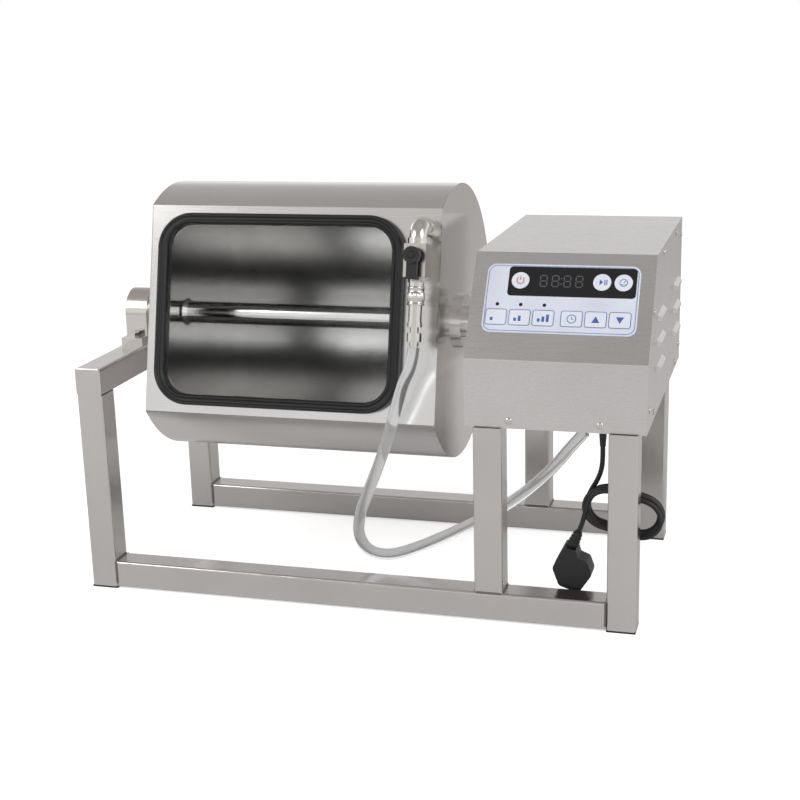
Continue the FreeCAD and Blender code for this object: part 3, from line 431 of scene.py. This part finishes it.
# --- beam ends --------------------------------------------------------------------------
# The portal's beam is closed at both ends by a rounded plate, which lies on the legs'
# line so that each leg runs up to the top: a rounded square with two bevelled edges.
turns = np.concatenate([np.linspace(k * 90, k * 90 + 90, 7) for k in range(4)]) * math.pi / 180
for end, y, out in (("front", 0.0, -1), ("back", 306.0, 1)):
    grid = np.stack([np.stack([15 + np.repeat([1, -1, -1, 1], 7) * 12 + (3 - inset) * np.cos(turns),
                               np.full(28, y - out * 0.4 + out * rise),
                               237 + np.repeat([1, 1, -1, -1], 7) * 12 + (3 - inset) * np.sin(turns)], -1)
                     for inset, rise in ((0.25, -0.9), (0.0, 0.0), (0.0, 0.42), (0.7, 0.75))])
    wrap("beam_end_" + end, spot(grid), steel_z, "frame", smooth=False)

# --- screws -----------------------------------------------------------------------------
# Domed heads: a spherical cap whose height drops inside a cross of two bars.
screw_heads, screw_faces = [], []
r = np.concatenate([np.linspace(0.02, 2.4, 13), np.linspace(2.7, 3.6, 6)])[:, None]
a = np.linspace(0, 2 * np.pi, 49)[None, :-1]
flat_x, flat_y = r * np.cos(a), r * np.sin(a)
cap = 1.8 * np.sqrt(np.clip(1 - (r / 3.62) ** 2, 0, 1)) + 0 * a
slot_wide = np.minimum(np.abs(flat_x), np.abs(flat_y))
cap = np.where((slot_wide < 0.42) & (r < 2.1), cap - 0.9, cap)
FRONT = [(46, 8), (138, 8)]
SIDE = [(131, 160), (262, 160), (318, 150), (46, 114), (18, 21), (61, 8), (276, 8), (318, 20)]
BACK = [(x, z) for x in (12, 172.5) for z in (12, 84, 156)]
RIGHT_X, BACK_Y = 617.5, 336
places = [((BOX_X + x, BOX_Y, BOX_FOOT + z), (1, 0, 0), (0, 0, 1), (0, -1, 0)) for x, z in FRONT]
places += [((RIGHT_X, BOX_Y + y, BOX_FOOT + z), (0, 1, 0), (0, 0, 1), (1, 0, 0)) for y, z in SIDE]
places += [((BOX_X + x, BACK_Y, BOX_FOOT + z), (-1, 0, 0), (0, 0, 1), (0, 1, 0)) for x, z in BACK]
rings, spokes = cap.shape
for k, (middle, e1, e2, e3) in enumerate(places):
    middle, e1, e2, e3 = (np.array(item, float) for item in (middle, e1, e2, e3))
    dome = middle + flat_x[..., None] * e1 + flat_y[..., None] * e2 + cap[..., None] * e3
    screw_heads.append(dome.reshape(-1, 3))
    first = k * rings * spokes
    u, v = np.arange(rings - 1)[:, None], np.arange(spokes)[None, :]
    quads = np.stack([u * spokes + v, (u + 1) * spokes + v, (u + 1) * spokes + (v + 1) % spokes,
                      u * spokes + (v + 1) % spokes], -1).reshape(-1, 4) + first
    screw_faces += quads.tolist()
    screw_faces += [[first + i for i in range(spokes)],
                    [first + (rings - 1) * spokes + i for i in range(spokes - 1, -1, -1)]]
screws = mesh_piece("cross_screws", spot(np.concatenate(screw_heads)), screw_faces, plated)
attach(screws, "frame")
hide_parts("panel_screws")

# --- coupler sleeve and clamp -------------------------------------------------------------
# The sleeve is turned with a grip of fine teeth between two plain lips: its radius
# drops in fine teeth round the turn, and it is bored for the socket.
up_line = np.array([10, 10.3, 11.6, 12, 14.4, 14.8, 22.6, 23, 26.4, 26.8, 28.4, 28.85])
radius = np.array([8.2, 8.8, 9.0, 8.4, 8.4, 9.0, 9.0, 8.3, 8.3, 9.0, 8.8, 8.2])
toothed = np.array([0, 0, 0, 0, 0, 1, 1, 0, 0, 0, 0, 0])
angle = np.linspace(0, 2 * np.pi, 145)[:-1]
outer = radius[:, None] - toothed[:, None] * 0.45 * (np.sin(angle * 36)[None, :] > 0)
line = np.concatenate([up_line, up_line[::-1]])
skin = np.concatenate([outer, np.full((12, 144), 7.65)])
VALVE_X, VALVE_OUT = 381, 142.5
turned = on_face(VALVE_X + (skin * np.cos(angle)).T, VALVE_OUT + (skin * np.sin(angle)).T,
                 np.broadcast_to(line, (144, 24)))
sleeve = wrap("grip_sleeve", turned, plated, "coupler_sleeve", round_u=True)
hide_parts("coupler_sleeve")

# --- vacuum hose --------------------------------------------------------------------------
# The clear hose hangs from the coupler's barb, turns near the floor and rises to the
# port under the box; its line is the CAD route.
def line_of(name, points, radius, material):
    """A round cord along a quadratic spline, and its own line as points."""
    curve = bpy.data.curves.new(name, "CURVE")
    curve.dimensions = "3D"
    spline = curve.splines.new("NURBS")
    points = spot(points)
    spline.points.add(len(points) - 1)
    spline.points.foreach_set("co", np.c_[points, np.ones(len(points))].ravel())
    spline.order_u = 3
    spline.use_endpoint_u = True
    spline.resolution_u = 10
    item = bpy.data.objects.new(name, curve)
    scene.collection.objects.link(item)
    bpy.context.view_layer.update()
    plain = bpy.data.meshes.new_from_object(item)
    path = np.array([tuple(v.co) for v in plain.vertices])
    curve.bevel_depth = radius / 1000
    curve.bevel_resolution = 8
    curve.use_fill_caps = True
    curve.materials.append(material)
    return item, path, float(np.linalg.norm(np.diff(path, axis=0), axis=1).sum())


BARB_END = 38 - 5 - 19 - 4 - 22 - 20
HOSE = [*((on_face(x, VALVE_OUT, up) * 1000 + ORIGIN).tolist()
          for x, up in ((VALVE_X, BARB_END - 0.3), (VALVE_X - 1.5, BARB_END - 20))),
        (370, 1.5, 252), (361, 3, 222), (349, 8, 186), (335, 16, 152), (321, 24, 122),
        (308, 34, 94), (303, 43, 66), (312, 52, 45), (334, 58, 40), (359, 61, 48), (386, 65, 60),
        (416, 69, 75), (444, 73, 90), (469, 75, 107), (493, 77, 127), (514, 79, 149)]
LEAN = math.radians(41)
HOSE += [(556 - (17 + far) * math.sin(LEAN), 79.5, 200 - (17 + far) * math.cos(LEAN)) for far in (20, 0.3)]
spline, hose_path, hose_length = line_of("hose_line", HOSE, 6.2, hose_pvc)
bpy.context.view_layer.update()
hose = bpy.data.objects.new("clear_hose", bpy.data.meshes.new_from_object(spline))
scene.collection.objects.link(hose)
bpy.data.objects.remove(spline)
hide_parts("vacuum_hose")
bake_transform(hose)

# --- mains lead ---------------------------------------------------------------------------
# One cord: it drops from the gland, goes four times round a long loop with half-round
# ends, each turn beside the last, and leaves for the plug.
STRAIGHT, BEND = 19.0, 20.5
ROUND = 4 * STRAIGHT + 2 * math.pi * BEND
travel = np.arange(0, 4.02 * 18) * ROUND / 18 + STRAIGHT + STRAIGHT + math.pi * BEND * 0.5 - 6
turn_at = travel / ROUND
along = np.mod(travel, ROUND)
arc = math.pi * BEND
top = along < 2 * STRAIGHT
left = (along >= 2 * STRAIGHT) & (along < 2 * STRAIGHT + arc)
low = (along >= 2 * STRAIGHT + arc) & (along < 4 * STRAIGHT + arc)
swing = np.where(left, (along - 2 * STRAIGHT) / BEND, (along - 4 * STRAIGHT - arc) / BEND)
loop_x = np.select([top, left, low], [STRAIGHT - along, -STRAIGHT - BEND * np.sin(swing),
                                      along - 3 * STRAIGHT - arc], STRAIGHT + BEND * np.sin(swing))
loop_z = np.select([top, left, low], [BEND + 0 * along, BEND * np.cos(swing), -BEND + 0 * along],
                   -BEND * np.cos(swing))
size = 1 + 0.05 * np.sin(turn_at * 2.2 + 0.6)
lean = math.radians(12) + 0.05 * np.sin(turn_at * 1.9)
loop_x, loop_z = loop_x * size, loop_z * size
HANK = np.stack([590 + loop_x * np.cos(lean) + loop_z * np.sin(lean), 62.5 - 5.4 * (turn_at - turn_at[0]),
                 112 - loop_x * np.sin(lean) + loop_z * np.cos(lean)], -1)
PLUG_LEAN = math.radians(23)
RELIEF_FOOT = np.array([536.5, 46, 70])
relief = RELIEF_FOOT + 20 * np.array([math.sin(PLUG_LEAN), 0, math.cos(PLUG_LEAN)])
LEAD = np.concatenate([[(567.5, 52, 181), (567.6, 52.3, 170), (566.5, 54, 156), (561.5, 58, 142),
                        (554.5, 61.5, 130)], HANK[1:],
                       [relief + (3.2, -1.0, 7.5), relief]])
lead, lead_path, lead_length = line_of("mains_lead", LEAD, 2.6, black)
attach(lead, "frame")
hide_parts("mains_cord_drop", "mains_cord_hank", "mains_cord_tail")

# --- plug ribs ----------------------------------------------------------------------------
# The plug's strain relief has five rings round its cone: the radius rises and falls.
t = np.linspace(0, 1, 61)
ribbed = 6.4 - 2.4 * t + 0.7 * np.sign(np.sin(t * 5 * 2 * math.pi)) * (t > 0.04) * (t < 0.97)
angle = np.linspace(0, 2 * np.pi, 33)[:-1]
axis = np.array([math.sin(PLUG_LEAN), 0, math.cos(PLUG_LEAN)])
side = np.array([math.cos(PLUG_LEAN), 0, -math.sin(PLUG_LEAN)])
spokes = np.cos(angle)[None, :, None] * side + np.sin(angle)[None, :, None] * (0, 1, 0)
grid = RELIEF_FOOT + 19.6 * t[:, None, None] * axis + ribbed[:, None, None] * spokes
wrap("plug_ribs", spot(grid), black, "frame")

# --- printing on the keypad ---------------------------------------------------------------
# Flat signs a twentieth of a millimetre thick: each stroke is a ribbon of constant
# width along a line or an arc.
def print_signs(name, strokes, height, material):
    """One mesh of thin ribbons; each stroke is (points along it, its width)."""
    points, faces, first = [], [], 0
    for path, width in strokes:
        path = np.asarray(path, float)
        way = np.gradient(path, axis=0)
        way /= np.linalg.norm(way, axis=1)[:, None]
        side = np.stack([-way[:, 1], way[:, 0]], -1) * np.reshape(width, (-1, 1)) / 2
        count = len(path)
        for edge, out in ((side, height), (-side, height), (-side, height - 0.04), (side, height - 0.04)):
            points.append(on_slope(path[:, 0] + edge[:, 0], path[:, 1] + edge[:, 1], out))
        i = np.arange(count - 1)
        for a, b in ((0, 1), (1, 2), (2, 3), (3, 0)):
            quads = np.stack([a * count + i, a * count + i + 1, b * count + i + 1, b * count + i], -1)
            faces += (quads[:, ::-1] + first).tolist()
        faces += [[first, first + count, first + 2 * count, first + 3 * count][::-1],
                  [first + count - 1, first + 2 * count - 1, first + 3 * count - 1, first + 4 * count - 1]]
        first += 4 * count
    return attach(mesh_piece(name, np.concatenate(points), faces, material, False), "frame")


def arc_line(x, y, radius, low, high):
    """Points of an arc; the angles are in degrees."""
    angle = np.radians(np.linspace(low, high, 25))
    return np.stack([x + radius * np.cos(angle), y + radius * np.sin(angle)], -1)


def outline(x, y, wide, high, r):
    """A rounded rectangle's edge as one closed line."""
    ends = [arc_line(x + sx * (wide / 2 - r), y + sy * (high / 2 - r), r, k * 90, k * 90 + 90)
            for k, (sx, sy) in enumerate(((1, 1), (-1, 1), (-1, -1), (1, -1)))]
    return np.concatenate([*ends, ends[0][:1]])


ink_blue = moulded("ink_blue", (0.05, 0.13, 0.42), 0.5, 3000.0, 0.1)
ink_red = moulded("ink_red", (0.62, 0.03, 0.03), 0.5, 3000.0, 0.1)
segment_grey = moulded("segment_grey", (0.09, 0.09, 0.10), 0.4, 3000.0, 0.05)
KEY_X, KEY_UP, ROUND_UP = [28.4, 52.4, 76.4, 105, 129, 153], 46, 86.5
PRINT_OUT, DIGIT_OUT = 1.26, 1.16
print_signs("key_outlines", [(outline(x, KEY_UP, 21.2, 16.6, 2.4), 0.5) for x in KEY_X]
            + [(outline(92.25, 67, 151.6, 71.2, 8), 0.5)], PRINT_OUT, ink_blue)
signs = []
for x, bars in zip(KEY_X[:3], (1, 2, 3)):
    signs += [([(x - 4.5 + 4.5 * k, 42.0), (x - 4.5 + 4.5 * k, 45.5 + 2.2 * k)], 2.8) for k in range(bars)]
signs += [(arc_line(105, KEY_UP, 4.4, 90, 450), 0.8), ([(105, 48.6), (105, 46), (107.2, 45)], 0.7)]
signs += [([(129, 42.6), (129, 49.6)], (8.0, 0.1)), ([(153, 49.4), (153, 42.4)], (8.0, 0.1))]
print_signs("key_signs", signs, PRINT_OUT, ink_blue)
rounds = [(arc_line(49.3, ROUND_UP, 3.6, 125, 415), 0.9), ([(49.3, 87), (49.3, 91.2)], 0.9)]
print_signs("power_sign", rounds, PRINT_OUT, ink_red)
rounds = [([(129.4, ROUND_UP), (133.0, ROUND_UP)], (6.4, 0.1)), ([(134.6, 83.6), (134.6, 89.4)], 1.0),
          ([(136.6, 83.6), (136.6, 89.4)], 1.0)]
rounds += [(arc_line(153.4, ROUND_UP, 3.8, 0, 360), 0.7), ([(153.4, ROUND_UP), (155.6, 88.6)], 0.7),
           ([(150.8, 84.4), (156, 84.4)], 0.6)]
print_signs("round_signs", rounds, PRINT_OUT, ink_blue)
digits = []
for x in (73, 85, 97, 109):
    for k in (-1, 0, 1):
        y = ROUND_UP + k * 6.0
        digits.append(([(x - 2.6, y), (x + 2.6, y)], 1.2))
    for s in (-1, 1):
        for k in (-1, 1):
            y = ROUND_UP + k * 3.0
            digits.append(([(x + s * 3.3, y - 2.3), (x + s * 3.3, y + 2.3)], 1.2))
digits += [([(91, y - 0.7), (91, y + 0.7)], 1.4) for y in (83.5, 89.5)]
print_signs("display_digits", digits, DIGIT_OUT, segment_grey)
